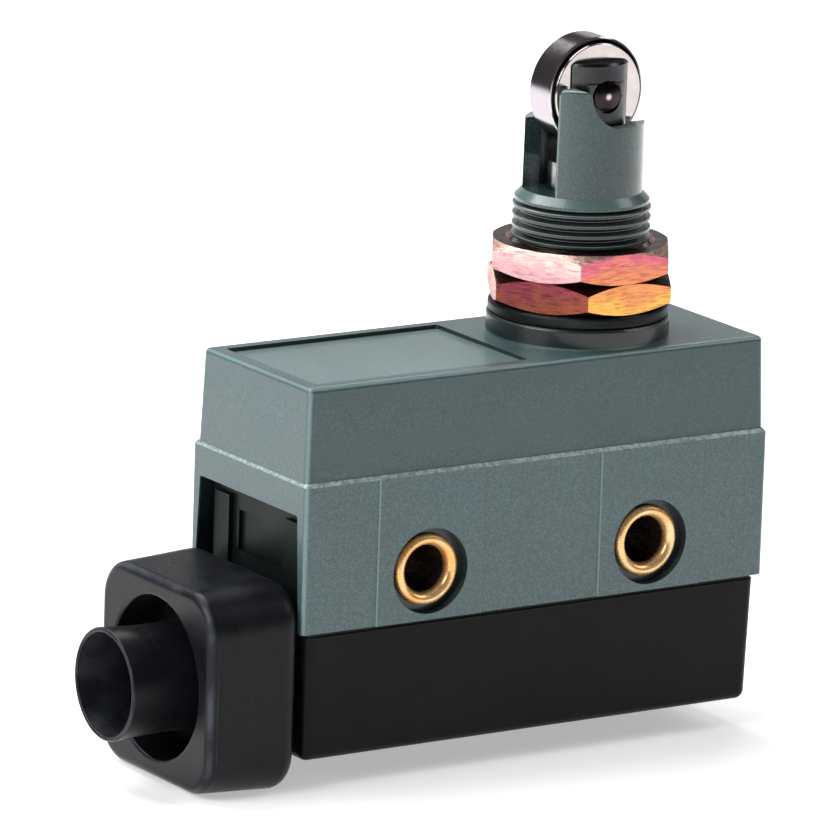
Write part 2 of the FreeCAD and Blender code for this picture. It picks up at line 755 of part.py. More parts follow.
def overtravel_spring():
    """The inner spring, from the push rod's head up to the end of the plunger's bore."""
    return helical_spring(OVERTRAVEL_COIL, (ROD_HEAD_Z[1], PLUNGER_BORE_TOP))


def push_rod_guide():
    """The collar that closes the plunger's bore round the push rod."""
    z = (SHAFT_BOTTOM, SHAFT_BOTTOM + ROD_GUIDE_HEIGHT)
    return ring_z(PLUNGER_BORE - PRESS_GAP / 2, ROD_RADIUS + ROD_GUIDE_GAP, z)


def push_rod():
    """The inner rod that passes the stroke to the snap switch's button."""
    return revolve_head([
        (0.0, BUTTON_TOP),
        (ROD_TIP_RADIUS, BUTTON_TOP),
        (ROD_RADIUS, BUTTON_TOP + ROD_TIP_HEIGHT),
        (ROD_RADIUS, ROD_HEAD_Z[0]),
        (ROD_HEAD_RADIUS, ROD_HEAD_Z[0]),
        (ROD_HEAD_RADIUS, ROD_HEAD_Z[1]),
        (0.0, ROD_HEAD_Z[1]),
    ])


# ---- bottom cover and its fasteners -------------------------------------------------

def cover_gasket():
    """The flat rubber frame between the housing and the cover, open round the end wall."""
    z = (COVER_TOP, SKIRT_BOTTOM)
    outer_x = (COVER_X_TOP[0] + GASKET_INSET_X, COVER_X_TOP[1] - GASKET_INSET_X)
    opening_x = (INNER_X[0] + GASKET_INSET_X, INNER_X[1] - GASKET_INSET_X)
    frame = rounded_block(outer_x, half(COVER_HALF_Y_TOP - GASKET_INSET_Y), z, CORNER_RADIUS)
    frame = frame.cut(rounded_block(opening_x, half(COVER_INNER_HALF_Y), z, GASKET_CORNER))
    frame = frame.multiFuse([cylinder_z(SCREW_HEAD, z, x, y) for x, y in screw_positions()])
    for x, y in screw_positions():
        frame = frame.cut(cylinder_z(SCREW_SHANK + SCREW_GAP, z, x, y))
    open_x = (BODY_X[0], END_WALL_X[1] + GASKET_INSET_X)
    return frame.cut(box(open_x, half(NOTCH_HALF_BOTTOM), z)).removeSplitter()


def end_wall():
    """The cover's upright tongue that closes the housing's notch."""
    outer_x = END_WALL_X[0]
    foot_z = COVER_TOP - WALL_FOOT
    parts = [box(END_WALL_X, half(END_WALL_HALF_Y), (foot_z, END_WALL_TOP))]
    for side in (-1, 1):
        rib_x = (outer_x - RIB_DEPTH, outer_x)
        parts.append(box(rib_x, sided(side, *RIB_Y), (foot_z, END_WALL_TOP - RIB_DROP)))
    panel_x = (outer_x - CUT_PAST, outer_x + PANEL_DEPTH)
    return fuse_all(parts).cut(box(panel_x, half(PANEL_HALF_Y), PANEL_Z))


def bottom_cover():
    """The moulded lower cover that holds the wiring space."""
    low = (COVER_X_BOTTOM, half(COVER_HALF_Y_BOTTOM), COVER_BOTTOM)
    high = (COVER_X_TOP, half(COVER_HALF_Y_TOP), COVER_TOP)
    inner_z = (COVER_FLOOR, COVER_TOP + CUT_PAST)
    inner_y = half(COVER_INNER_HALF_Y)
    shell = tapered_block(low, high, COVER_CORNER)
    shell = shell.makeFillet(COVER_EDGE_RADIUS, edges_at_z(shell, COVER_BOTTOM))
    shell = shell.cut(rounded_block(INNER_X, inner_y, inner_z, COVER_INNER_CORNER))
    post_z = (COVER_BOTTOM + COVER_EDGE_RADIUS, COVER_TOP)
    posts = [end_wall()]
    for x, y in screw_positions():
        posts.append(cylinder_z(SCREW_HEAD + SCREW_POST_WALL, post_z, x, y))
    shell = shell.multiFuse(posts)
    entry_x = (COVER_X_TOP[0] - CUT_PAST, INNER_X[0] + CUT_PAST)
    shank_z = (COVER_BOTTOM - CUT_PAST, COVER_TOP + CUT_PAST)
    head_z = (COVER_BOTTOM - CUT_PAST, SCREW_SEAT_Z)
    cutters = [cylinder_x(NOZZLE_TAIL_RADIUS + PRESS_GAP, entry_x)]
    for x, y in screw_positions():
        cutters.append(cylinder_z(SCREW_SHANK + SCREW_GAP, shank_z, x, y))
        cutters.append(cylinder_z(SCREW_HEAD + SCREW_GAP, head_z, x, y))
    return shell.cut(fuse_all(cutters)).removeSplitter()


def cross_recess(z, x, y, reach, depth):
    """A cross-shaped driver recess that opens downwards at height z."""
    z_pair = (z, z + depth)
    arm_x = (x - RECESS_ARM_HALF, x + RECESS_ARM_HALF)
    arm_y = (y - RECESS_ARM_HALF, y + RECESS_ARM_HALF)
    level = box((x - reach, x + reach), arm_y, z_pair)
    return level.fuse(box(arm_x, (y - reach, y + reach), z_pair))


def cover_screws():
    """The four screws that come up through the cover into the housing's posts."""
    head_z = (SCREW_SEAT_Z - SCREW_HEAD_HEIGHT, SCREW_SEAT_Z)
    screws = []
    for x, y in screw_positions():
        head = cylinder_z(SCREW_HEAD, head_z, x, y)
        head = head.makeFillet(SCREW_EDGE_RADIUS, edges_at_z(head, head_z[0]))
        shank = cylinder_z(SCREW_SHANK, (SCREW_SEAT_Z, SCREW_END_Z), x, y)
        recess = cross_recess(head_z[0], x, y, COVER_RECESS_REACH, COVER_RECESS_DEPTH)
        screws.append(head.fuse(shank).removeSplitter().cut(recess))
    return Part.makeCompound(screws)


# ---- cable entry --------------------------------------------------------------------

def boot_outline(x, half_y, half_z):
    """A rounded square across the cable's axis at x."""
    block = box((x, x + CUT_PAST), half(half_y), (CABLE_Z - half_z, CABLE_Z + half_z))
    block = block.makeFillet(BOOT_CORNER, edges_along(block, X_AXIS))
    return Part.Wire(Part.__sortEdges__(edges_at_x(block, x)))


def cable_boot():
    """The rubber block with a deep round recess for the cable nozzle."""
    wires = [boot_outline(BOOT_X[0], *BOOT_HALF_FRONT), boot_outline(BOOT_X[1], *BOOT_HALF_REAR)]
    block = Part.makeLoft(wires, True, True)
    block = block.makeFillet(BOOT_EDGE_REAR, edges_at_x(block, BOOT_X[1]))
    block = block.makeFillet(BOOT_EDGE_FRONT, edges_at_x(block, BOOT_X[0]))
    spigot_x = (BOOT_X[1] - CUT_PAST, COVER_X_TOP[0] - PRESS_GAP)
    block = block.fuse(box(spigot_x, half(SPIGOT_HALF_Y), SPIGOT_Z))
    recess = cylinder_x(BOOT_RECESS_RADIUS, (BOOT_X[0] - CUT_PAST, BOOT_RECESS_FLOOR))
    bore_x = (BOOT_RECESS_FLOOR - CUT_PAST, COVER_X_TOP[0] + CUT_PAST)
    block = block.cut(recess).cut(cylinder_x(NOZZLE_NECK + PRESS_GAP, bore_x)).removeSplitter()
    mouth = []
    for edge in edges_at_x(block, BOOT_X[0]):
        if abs(edge.BoundBox.YLength - 2 * BOOT_RECESS_RADIUS) < IN_PLANE:
            mouth.append(edge)
    return block.makeFillet(BOOT_MOUTH_EDGE, mouth)


def cable_nozzle():
    """The flared rubber tube that grips the cable, open right through and wider at its tail."""
    seat = COVER_X_TOP[0] - PRESS_GAP
    tail = END_WALL_X[1] + TAIL_GAP
    tail_end = tail + NOZZLE_FLANGE
    lip_outer = cable_point(MOUTH_X + MOUTH_LIP, MOUTH_RADIUS)
    lip_front = cable_point(MOUTH_X, MOUTH_RADIUS - MOUTH_LIP)
    lip_inner = cable_point(MOUTH_X + MOUTH_LIP, MOUTH_RADIUS - 2 * MOUTH_LIP)
    waist = cable_point(MOUTH_X + MOUTH_WAIST_AT, MOUTH_RADIUS - MOUTH_WAIST)
    shoulder = cable_point(BOOT_RECESS_FLOOR, MOUTH_RADIUS)
    funnel_end = cable_point(MOUTH_X + FUNNEL_DEPTH, CABLE_RADIUS)
    funnel_bend = (funnel_end + lip_inner) / 2 - V(0, 0, FUNNEL_BOW)
    corners = [
        shoulder,
        cable_point(BOOT_RECESS_FLOOR, NOZZLE_NECK),
        cable_point(seat, NOZZLE_NECK),
        cable_point(seat, NOZZLE_TAIL_RADIUS),
        cable_point(tail, NOZZLE_TAIL_RADIUS),
        cable_point(tail, NOZZLE_FLANGE_RADIUS),
        cable_point(tail_end, NOZZLE_FLANGE_RADIUS),
        cable_point(tail_end, TAIL_BORE),
        cable_point(TAIL_BORE_X, TAIL_BORE),
        cable_point(TAIL_BORE_X - (TAIL_BORE - CABLE_RADIUS), CABLE_RADIUS),
        funnel_end,
    ]
    edges = [
        Part.Arc(lip_inner, lip_front, lip_outer).toShape(),
        smooth_curve([lip_outer, waist, shoulder]),
        smooth_curve([funnel_end, funnel_bend, lip_inner]),
    ]
    for start, end in zip(corners, corners[1:]):
        edges.append(Part.makeLine(start, end))
    outline = Part.Wire(Part.__sortEdges__(edges))
    return Part.Face(outline).revolve(V(0, 0, CABLE_Z), X_AXIS, FULL_TURN)


def cable_point(x, radius):
    """The point over the cable's axis at x."""
    return V(x, 0, CABLE_Z + radius)


def smooth_curve(points):
    """A smooth edge through a few points."""
    curve = Part.BSplineCurve()
    curve.interpolate(points)
    return curve.toShape()


# ---- built-in snap switch -----------------------------------------------------------

def eyelet_holes():
    """The through holes that let the mounting eyelets pass the switch."""
    holes = []
    for x in hole_positions():
        radius = EYELET_TUBE_RADIUS + EYELET_PASS_GAP
        holes.append(cylinder_y(radius, half(SWITCH_HALF_Y + CUT_PAST), x))
    return holes


def switch_base():
    """The lower moulding of the snap switch, which carries the terminals."""
    base = rounded_block(SWITCH_X, half(SWITCH_HALF_Y), (SWITCH_Z[0], SWITCH_SPLIT), SWITCH_CORNER)
    slot_y = half(STRAP_HALF_Y + SLOT_GAP)
    slot_z = (SWITCH_Z[0] - CUT_PAST, SWITCH_SPLIT + CUT_PAST)
    cutters = eyelet_holes()
    for x in TERMINAL_X.values():
        slot_x = (x - LEG_HALF - SLOT_GAP, x + LEG_HALF + SLOT_GAP)
        cutters.append(box(slot_x, slot_y, slot_z))
    middle = TERMINAL_X["normally_open"]
    relief_x = (middle - BASE_RELIEF_HALF[0], middle + BASE_RELIEF_HALF[0])
    relief_z = (SWITCH_Z[0] - CUT_PAST, SWITCH_Z[0] + BASE_RELIEF_DEPTH)
    cutters.append(box(relief_x, half(BASE_RELIEF_HALF[1]), relief_z))
    return base.cut(fuse_all(cutters))


def switch_lid():
    """The upper moulding that covers the blade and guides the button."""
    lid = rounded_block(SWITCH_X, half(SWITCH_HALF_Y), (SWITCH_SPLIT, SWITCH_Z[1]), SWITCH_CORNER)
    room_x = (SWITCH_X[0] + SWITCH_WALL / 2, SWITCH_X[1] - SWITCH_WALL / 2)
    room_y = half(SWITCH_HALF_Y - SWITCH_WALL)
    room = box(room_x, room_y, (SWITCH_SPLIT - CUT_PAST, SWITCH_Z[1] - SWITCH_WALL))
    hole_z = (SWITCH_SPLIT, SWITCH_Z[1] + CUT_PAST)
    return lid.cut(room.fuse(cylinder_z(BUTTON_RADIUS + BUTTON_GAP, hole_z)))


def switch_button():
    """The snap switch's own pin, with a collar that keeps it in the lid."""
    foot = BLADE_Z[1] + BUTTON_LIFT
    top = BUTTON_TOP - PRESS_GAP
    collar = BUTTON_RADIUS + BUTTON_COLLAR
    return revolve_head([
        (0.0, foot),
        (BUTTON_TIP_RADIUS, foot),
        (BUTTON_RADIUS, foot + BUTTON_TIP_HEIGHT),
        (BUTTON_RADIUS, BUTTON_COLLAR_Z[0]),
        (collar, BUTTON_COLLAR_Z[0]),
        (collar, BUTTON_COLLAR_Z[1]),
        (BUTTON_RADIUS, BUTTON_COLLAR_Z[1]),
        (BUTTON_RADIUS, top - BUTTON_BEVEL),
        (BUTTON_RADIUS - BUTTON_BEVEL, top),
        (0.0, top),
    ])


def moving_blade():
    """The springy blade, round at the end it turns on and with a window down its middle."""
    blade = box(BLADE_X, half(BLADE_HALF_Y), BLADE_Z)
    middle_z = (BLADE_Z[0] + BLADE_Z[1]) / 2
    end_radius = (BLADE_Z[1] - BLADE_Z[0]) / 2
    blade = blade.fuse(cylinder_y(end_radius, half(BLADE_HALF_Y), BLADE_X[1], middle_z))
    return blade.removeSplitter().cut(box(BLADE_WINDOW_X, half(BLADE_WINDOW_HALF), BLADE_Z))


def contact_above(z):
    """A bevelled silver contact that stands on the plane at height z."""
    rivet = cylinder_z(CONTACT_RADIUS, (z, z + CONTACT_HEIGHT), CONTACT_X)
    return rivet.makeChamfer(CONTACT_BEVEL, edges_at_z(rivet, z + CONTACT_HEIGHT))


def contact_below(z):
    """The same contact hanging under the plane at height z."""
    return contact_above(z).mirror(V(0, 0, z), Z_AXIS)


def moving_contact():
    """The contact riveted through the blade, so it shows on both faces."""
    return Part.makeCompound([contact_above(BLADE_Z[1]), contact_below(BLADE_Z[0])])


def screw_centre(x):
    """A terminal's screw stands beside its leg, towards the middle of the switch."""
    return x - TERMINAL_SCREW_OFFSET if x > 0 else x + TERMINAL_SCREW_OFFSET


def terminal(x, top, straps):
    """An upright brass leg with a threaded foot below and its straps above."""
    foot_z = (TERMINAL_BOTTOM, TERMINAL_BOTTOM + FOOT_THICKNESS)
    parts = [
        box((x - LEG_HALF, x + LEG_HALF), half(STRAP_HALF_Y), (foot_z[1], top)),
        box((x - FOOT_HALF_X, x + FOOT_HALF_X), half(STRAP_HALF_Y + FOOT_OVERHANG), foot_z),
    ]
    hole_z = (foot_z[0] - CUT_PAST, foot_z[1])
    thread = cylinder_z(TERMINAL_SHANK + PRESS_GAP, hole_z, screw_centre(x))
    return fuse_all(parts + straps).cut(thread)


def common_terminal():
    """The terminal that grips the blade's fixed end."""
    x = TERMINAL_X["common"]
    grip_x = (BLADE_X[1] + BLADE_GRIP_X[0], BLADE_X[1] + BLADE_GRIP_X[1])
    grip_z = (BLADE_GRIP_BOTTOM, BLADE_Z[1] + BLADE_GRIP_RISE)
    shelf_top = BLADE_Z[0] - BLADE_GRIP_DROP
    shelf = box((x - LEG_HALF, grip_x[1]), half(STRAP_HALF_Y), (BLADE_GRIP_BOTTOM, shelf_top))
    return terminal(x, shelf_top, [shelf, box(grip_x, half(STRAP_HALF_Y), grip_z)])


def normally_open_terminal():
    """The terminal whose strap lies under the blade's contact."""
    x = TERMINAL_X["normally_open"]
    strap_x = (CONTACT_X - STRAP_END, x + LEG_HALF)
    strap = box(strap_x, half(STRAP_HALF_Y), OPEN_STRAP_Z)
    return terminal(x, OPEN_STRAP_Z[1], [strap])


def normally_closed_terminal():
    """The terminal whose strap lies over the blade's contact."""
    x = TERMINAL_X["normally_closed"]
    strap_x = (x - LEG_HALF, CONTACT_X + STRAP_END)
    strap = box(strap_x, half(STRAP_HALF_Y), CLOSED_STRAP_Z)
    return terminal(x, CLOSED_STRAP_Z[1], [strap])


def terminal_clamps():
    """The saddle plates under the terminal screws."""
    z = (TERMINAL_BOTTOM - CLAMP_THICKNESS, TERMINAL_BOTTOM)
    clamps = []
    for x in TERMINAL_X.values():
        centre = screw_centre(x)
        plate = box((centre - CLAMP_HALF[0], centre + CLAMP_HALF[0]), half(CLAMP_HALF[1]), z)
        clamps.append(plate.cut(cylinder_z(CLAMP_HOLE, z, centre)))
    return Part.makeCompound(clamps)


def terminal_screws():
    """The screws that clamp the wires, with their heads downwards."""
    seat = TERMINAL_BOTTOM - CLAMP_THICKNESS
    head_z = (seat - TERMINAL_HEAD_HEIGHT, seat)
    screws = []
    for x in TERMINAL_X.values():
        centre = screw_centre(x)
        shank_z = (seat, TERMINAL_BOTTOM + FOOT_THICKNESS)
        screw = cylinder_z(TERMINAL_HEAD, head_z, centre)
        screw = screw.fuse(cylinder_z(TERMINAL_SHANK, shank_z, centre)).removeSplitter()
        recess = cross_recess(head_z[0], centre, 0.0, TERMINAL_RECESS_REACH, TERMINAL_RECESS_DEPTH)
        screws.append(screw.cut(recess))
    return Part.makeCompound(screws)


# ---- export -------------------------------------------------------------------------

NODES = {
    "housing": housing(),
    "threaded_head": threaded_head(),
    "panel_seal_washer": panel_seal_washer(),
    "lock_nut_lower": lock_nut(LOWER_NUT_Z, LOWER_NUT_ANGLE),
    "lock_nut_upper": lock_nut(UPPER_NUT_Z, UPPER_NUT_ANGLE),
    "mounting_eyelet_cable_side": mounting_eyelet(-HOLE_SPACING / 2),
    "mounting_eyelet_plunger_side": mounting_eyelet(HOLE_SPACING / 2),
    "plunger": plunger(),
    "roller": roller(),
    "roller_axle": roller_axle(),
    "stop_ring": stop_ring(),
    "return_spring": return_spring(),
    "overtravel_spring": overtravel_spring(),
    "push_rod": push_rod(),
    "push_rod_guide": push_rod_guide(),
    "plunger_seal": plunger_seal(),
    "spring_retainer": spring_retainer(),
    "retaining_ring": retaining_ring(),
    "bottom_cover": bottom_cover(),
    "cover_gasket": cover_gasket(),
    "cover_screws": cover_screws(),
    "cable_boot": cable_boot(),
    "cable_nozzle": cable_nozzle(),
    "switch_base": switch_base(),
    "switch_lid": switch_lid(),
    "switch_button": switch_button(),
    "moving_blade": moving_blade(),
    "moving_contact": moving_contact(),
    "common_terminal": common_terminal(),
    "normally_open_terminal": normally_open_terminal(),
    "normally_closed_terminal": normally_closed_terminal(),
    "fixed_contact_open": contact_above(OPEN_STRAP_Z[1]),
    "fixed_contact_closed": contact_below(CLOSED_STRAP_Z[0]),
    "terminal_clamps": terminal_clamps(),
    "terminal_screws": terminal_screws(),
}


os.makedirs("parts", exist_ok=True)
for name, shape in NODES.items():
    shape.exportStep(os.path.join("parts", name + ".step"))
    state = "valid" if shape.isValid() else "INVALID"
    print(name, state, len(shape.Solids), round(shape.Volume, 2))
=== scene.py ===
import json
import math

import bmesh
import bpy
from mathutils import Matrix, Vector


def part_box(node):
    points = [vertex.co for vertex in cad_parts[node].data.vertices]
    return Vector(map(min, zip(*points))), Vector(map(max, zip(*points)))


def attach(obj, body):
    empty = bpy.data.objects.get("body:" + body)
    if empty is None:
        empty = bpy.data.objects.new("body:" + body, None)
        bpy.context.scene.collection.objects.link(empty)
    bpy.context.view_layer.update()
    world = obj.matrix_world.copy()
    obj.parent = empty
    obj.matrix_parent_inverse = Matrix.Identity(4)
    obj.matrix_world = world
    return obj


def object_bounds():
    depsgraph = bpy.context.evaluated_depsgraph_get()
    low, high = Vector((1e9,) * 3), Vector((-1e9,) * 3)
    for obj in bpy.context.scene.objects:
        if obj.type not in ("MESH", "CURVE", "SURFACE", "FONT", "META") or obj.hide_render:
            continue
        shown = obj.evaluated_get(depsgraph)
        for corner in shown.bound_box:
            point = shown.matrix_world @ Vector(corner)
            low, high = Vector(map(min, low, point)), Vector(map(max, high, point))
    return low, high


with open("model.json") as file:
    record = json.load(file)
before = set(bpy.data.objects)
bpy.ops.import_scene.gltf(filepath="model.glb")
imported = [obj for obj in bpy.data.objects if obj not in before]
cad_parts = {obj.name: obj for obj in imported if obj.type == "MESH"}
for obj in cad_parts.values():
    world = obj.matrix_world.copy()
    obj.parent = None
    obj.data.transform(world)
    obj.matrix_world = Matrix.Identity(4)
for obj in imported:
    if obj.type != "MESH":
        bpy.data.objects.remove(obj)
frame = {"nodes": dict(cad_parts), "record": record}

# The looks of the limit switch. Lengths named *_MM are in millimetres, all others in metres.
# The CAD frame is kept: +X plunger end, -X cable end, -Y the face towards the camera.

MM = 0.001
CAD_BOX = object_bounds()

# ---- camera -------------------------------------------------------------------------

HEADING = 33.31
ELEVATION = 13.65
ROLL = 1.92
DISTANCE = 0.8359
AIM_RIGHT_MM = -6.67
AIM_UP_MM = 11.54
LENS = 374.96
SENSOR = 36.0
CLIP = (0.01, 10.0)

# ---- studio -------------------------------------------------------------------------

FLOOR_REACH = 2.4
SWEEP_BACK = 0.9
SWEEP_RADIUS = 0.5
SWEEP_HEIGHT = 0.05
SWEEP_STEPS = 16
FLOOR_GREY = 0.92
WORLD_GREY = 0.9
WORLD_STRENGTH = 0.07
FLOOR_GLOW = 0.42
FAR_GLOW = 0.18
GLOW_FADES = (0.5, 1.1)

# name: (heading, elevation, distance, side, power), with angles in degrees and power in watts.
# A heading of 0 is in front and 90 at the plunger end.
LIGHTS = {
    "key": (-88, 30, 0.60, 0.36, 2.75),
    "fill": (68, 36, 0.90, 0.50, 1.8),
    "back": (-168, 62, 0.80, 0.60, 6.5),
    "glint": (135, 41, 0.90, 0.24, 0.9),
}

# ---- directions, and the spread of a noise ------------------------------------------

UP = (0, 0, 1)
CABLE_WARDS = (-1, 0, 0)
ROUND_Y = (1, 0, 1)
ROUND_Z = (1, 1, 0)
EVERY_WAY = (1, 1, 1)
MOST = (0.3, 0.7)    # where most of a noise's values lie

# ---- tints, as screen colours of 0 to 255 -------------------------------------------

# a near-black tint laid in recesses, grooves, the notch and round the boss: painted shade
PAINTED_SHADE = (0.006, 0.009, 0.009, 1.0)    # the one tint that is already linear
# pale paint: for the grain, for edges that face up as wear and painted highlight, and for upright
# corners as painted highlight
PAINT_WORN_AND_HIGHLIGHT = (130, 156, 156)
UPPER_PAINTED_SHADE = (36, 54, 56)
END_PAINTED_SHADE = (44, 62, 64)
LABEL_PAINTED_SHEEN = (150, 172, 172)
LEDGE_CHIPS_AND_HIGHLIGHT = (190, 206, 200)
CREST_WEAR_AND_HIGHLIGHT = (150, 170, 164)
GUARD_TOP_HIGHLIGHT = (160, 182, 168)
GUARD_EDGE_PALE = (150, 168, 160)
HOLE_PAINTED_SHADE = (72, 54, 48)
RIM_PAINTED_SHADE = (60, 34, 16)
CHAMFER_PITS = (92, 34, 40)
ROLLER_STEP_PAINTED_SHADE = (26, 24, 28)
ROLLER_RIM_PAINTED_SHADE = (184, 176, 184)
ROLLER_SPECKS = (226, 220, 218)
EAR_BLACK = (40, 40, 44)
EAR_LINE_PAINTED_SHADE = (16, 14, 18)
PIN_PAINTED_HIGHLIGHT = (236, 220, 214)

# ---- places where a finish changes, in mm -------------------------------------------

HOLE_X_MM = 12.7    # either side of the origin
HEAD_X_MM = 10.3
ROLLER_Z_MM = 43.0
ROLLER_STEP_MM = ((4.86, 4.92), (5.2, 5.26))
ROLLER_RIM_MM = (5.4, 5.46)
PIN_SPOT_MM = (0.12, 0.4)
EAR_FOOT_MM = (37.5, 38.6)
EAR_SIDE_MM = (3.3, 3.4)
EAR_LINES_MM = (
    ((5.0, -5.0, 42.82), (16.0, 5.0, 42.96)),
    ((5.0, -5.0, 44.24), (16.0, 5.0, 44.38)),
)
RECESS_EDGE_MM = (4.19, 4.24)
EYELET_DARK_MM = (8.9, 9.5)
EYELET_LIP_MM = (3.45, 3.56)
ABOVE_TOP_MM = (19.2, 19.35)
BOSS_EDGE_MM = (9.15, 9.3)
LABEL_STEP_MM = ((-25.2, -8.3, 18.25), (-0.4, 8.3, 19.04))
TONGUE_MM = ((-27.0, -10.0, -5.5), (-24.0, 10.0, 7.0))
NOTCH_SIDES_MM = ((-26.7, -9.7, -5.5), (-24.0, 9.7, 6.75))
UPPER_MM = ((-27.0, -10.4, 9.95), (27.0, 10.4, 18.65))
LABEL_MM = ((-24.95, -8.2, 18.25), (-0.6, 8.2, 18.85))
LEDGE_MM = ((-27.0, -11.0, 9.45), (27.0, 11.0, 9.93))
THREAD_MM = ((2.0, -8.0, 21.2), (18.6, 8.0, 32.2))
GROOVE_MM = (6.3, 6.72)
CREST_MM = (6.64, 6.72)
GUARD_TOPS_MM = ((2.0, -8.0, 38.0), (18.6, 8.0, 44.5))
GUARD_EDGES_MM = (
    ((4.3, -3.02, 33.4), (7.5, -2.8, 43.8)),
    ((13.1, 2.8, 33.4), (16.3, 3.02, 43.8)),
)

# ---- small extra pieces -------------------------------------------------------------

SEAM_BACK_MM = 0.95    # behind the boot's front
SEAM_INSET_MM = (0.35, 0.45)    # inside the boot's sides, and inside its top and bottom
SEAM_CORNER_MM = 4.0
SEAM_RADIUS_MM = 0.13
CORNER_STEPS = 10
BEAD_SIDES = 8


def linear(red, green, blue):
    """A screen colour of 0 to 255 a channel as the shader's linear colour."""
    channels = []
    for value in (red, green, blue):
        share = value / 255
        low = share <= 0.04045
        channels.append(share / 12.92 if low else ((share + 0.055) / 1.055) ** 2.4)
    return (*channels, 1.0)


def metres(lengths_mm):
    """Lengths in millimetres as a tuple of metres."""
    return tuple(length * MM for length in lengths_mm)


class Finish:
    """A material being built, with short calls for the nodes it needs."""

    def __init__(self, name, metallic=0.0, roughness=0.5, **sockets):
        self.material = bpy.data.materials.new(name)
        self.material.use_nodes = True
        self.tree = self.material.node_tree
        self.shader = self.tree.nodes["Principled BSDF"]
        self.shader.inputs["Metallic"].default_value = metallic
        self.shader.inputs["Roughness"].default_value = roughness
        for socket, value in sockets.items():
            self.shader.inputs[socket.replace("_", " ")].default_value = value
        self.coords = self.node("ShaderNodeTexCoord")
        self.place = self.coords.outputs["Object"]

    def node(self, kind, **settings):
        """A new shader node with its own settings."""
        made = self.tree.nodes.new(kind)
        for name, value in settings.items():
            setattr(made, name, value)
        return made

    def put(self, socket, value):
        """Link an output to a socket, or set the socket to a plain value."""
        if isinstance(value, bpy.types.NodeSocket):
            self.tree.links.new(value, socket)
        else:
            socket.default_value = value

    def stretched(self, stretch):
        """The object's coordinates scaled by a different amount along each axis."""
        mapping = self.node("ShaderNodeMapping")
        self.put(mapping.inputs["Vector"], self.place)
        mapping.inputs["Scale"].default_value = stretch
        return mapping.outputs["Vector"]

    def noise(self, size_mm, detail=4.0, stretch=(1, 1, 1), warp=0.0):
        """Cloudy noise whose features are about size_mm across."""
        made = self.node("ShaderNodeTexNoise")
        self.put(made.inputs["Vector"], self.stretched(stretch))
        made.inputs["Scale"].default_value = 1 / (size_mm * MM)
        made.inputs["Detail"].default_value = detail
        made.inputs["Distortion"].default_value = warp
        return made.outputs["Fac"]

    def spread(self, value, low, high, to_low=0.0, to_high=1.0):
        """A value's range moved to another range, held at its ends."""
        made = self.node("ShaderNodeMapRange")
        self.put(made.inputs["Value"], value)
        for socket, number in zip(("From Min", "From Max", "To Min", "To Max"),
                                  (low, high, to_low, to_high)):
            made.inputs[socket].default_value = number
        return made.outputs["Result"]

    def spread_mm(self, length, low_mm, high_mm, to_low=0.0, to_high=1.0):
        """The same for a length in metres, between two lengths in millimetres."""
        return self.spread(length, *metres((low_mm, high_mm)), to_low, to_high)

    def maths(self, operation, first, second):
        """One sum on two numbers."""
        made = self.node("ShaderNodeMath", operation=operation)
        self.put(made.inputs[0], first)
        self.put(made.inputs[1], second)
        return made.outputs["Value"]

    def times(self, first, second):
        """The product of two numbers."""
        return self.maths("MULTIPLY", first, second)

    def band(self, value, rise, fall):
        """1 where the value is past its rise and before its fall, and 0 elsewhere."""
        return self.times(self.spread(value, *rise), self.spread(value, *fall, 1.0, 0.0))

    def blend(self, share, first, second):
        """A mix of two colours."""
        made = self.node("ShaderNodeMix", data_type="RGBA")
        self.put(made.inputs["Factor"], share)
        self.put(made.inputs[6], first)
        self.put(made.inputs[7], second)
        return made.outputs[2]

    def facing(self, direction):
        """How far the surface's own normal turns to a direction fixed in the object."""
        made = self.node("ShaderNodeVectorMath", operation="DOT_PRODUCT")
        self.put(made.inputs[0], self.coords.outputs["Normal"])
        made.inputs[1].default_value = direction
        return made.outputs["Value"]

    def upward(self, low, high, to_low=0.0, to_high=1.0):
        """The spread of how far the surface turns up."""
        return self.spread(self.facing(UP), low, high, to_low, to_high)

    def parts(self, vector):
        """A vector's X, Y and Z outputs."""
        made = self.node("ShaderNodeSeparateXYZ")
        self.put(made.inputs["Vector"], vector)
        return made.outputs

    def steepness(self, letter):
        """How far the surface turns to one axis, either way along it."""
        normal = self.parts(self.coords.outputs["Normal"])
        return self.maths("ABSOLUTE", normal[letter], 0.0)

    def axis(self, letter):
        """One coordinate of the place on the object, in metres."""
        return self.parts(self.place)[letter]

    def vector(self, operation, first, second):
        """One sum on two vectors."""
        made = self.node("ShaderNodeVectorMath", operation=operation)
        self.put(made.inputs[0], first)
        self.put(made.inputs[1], second)
        return made.outputs["Vector"]

    def from_line(self, point_mm, keep, both_ways=False):
        """The distance from a line through a point, keep being 0 along the line's own axis."""
        place = self.vector("ABSOLUTE", self.place, self.place) if both_ways else self.place
        offset = self.vector("SUBTRACT", place, metres(point_mm))
        across = self.vector("MULTIPLY", offset, keep)
        made = self.node("ShaderNodeVectorMath", operation="LENGTH")
        self.put(made.inputs[0], across)
        return made.outputs["Value"]

    def inside(self, low_mm, high_mm):
        """1 inside a box and 0 outside it."""
        centre = metres((low + high) / 2 for low, high in zip(low_mm, high_mm))
        half = metres((high - low) / 2 for low, high in zip(low_mm, high_mm))
        offset = self.vector("SUBTRACT", self.place, centre)
        share = self.parts(self.vector("DIVIDE", self.vector("ABSOLUTE", offset, offset), half))
        largest = self.maths("MAXIMUM", share["X"], share["Y"])
        largest = self.maths("MAXIMUM", largest, share["Z"])
        return self.maths("LESS_THAN", largest, 1.0)

    def over(self, share, colour):
        """Lay a colour over the one that the shader already has."""
        base = self.shader.inputs["Base Color"]
        under = base.links[0].from_socket if base.is_linked else tuple(base.default_value)
        self.colour(self.blend(share, under, colour))

    def colour(self, value):
        """Set the shader's colour, over any that it had."""
        self.put(self.shader.inputs["Base Color"], value)

    def roughness(self, value):
        """Set the shader's roughness."""
        self.put(self.shader.inputs["Roughness"], value)

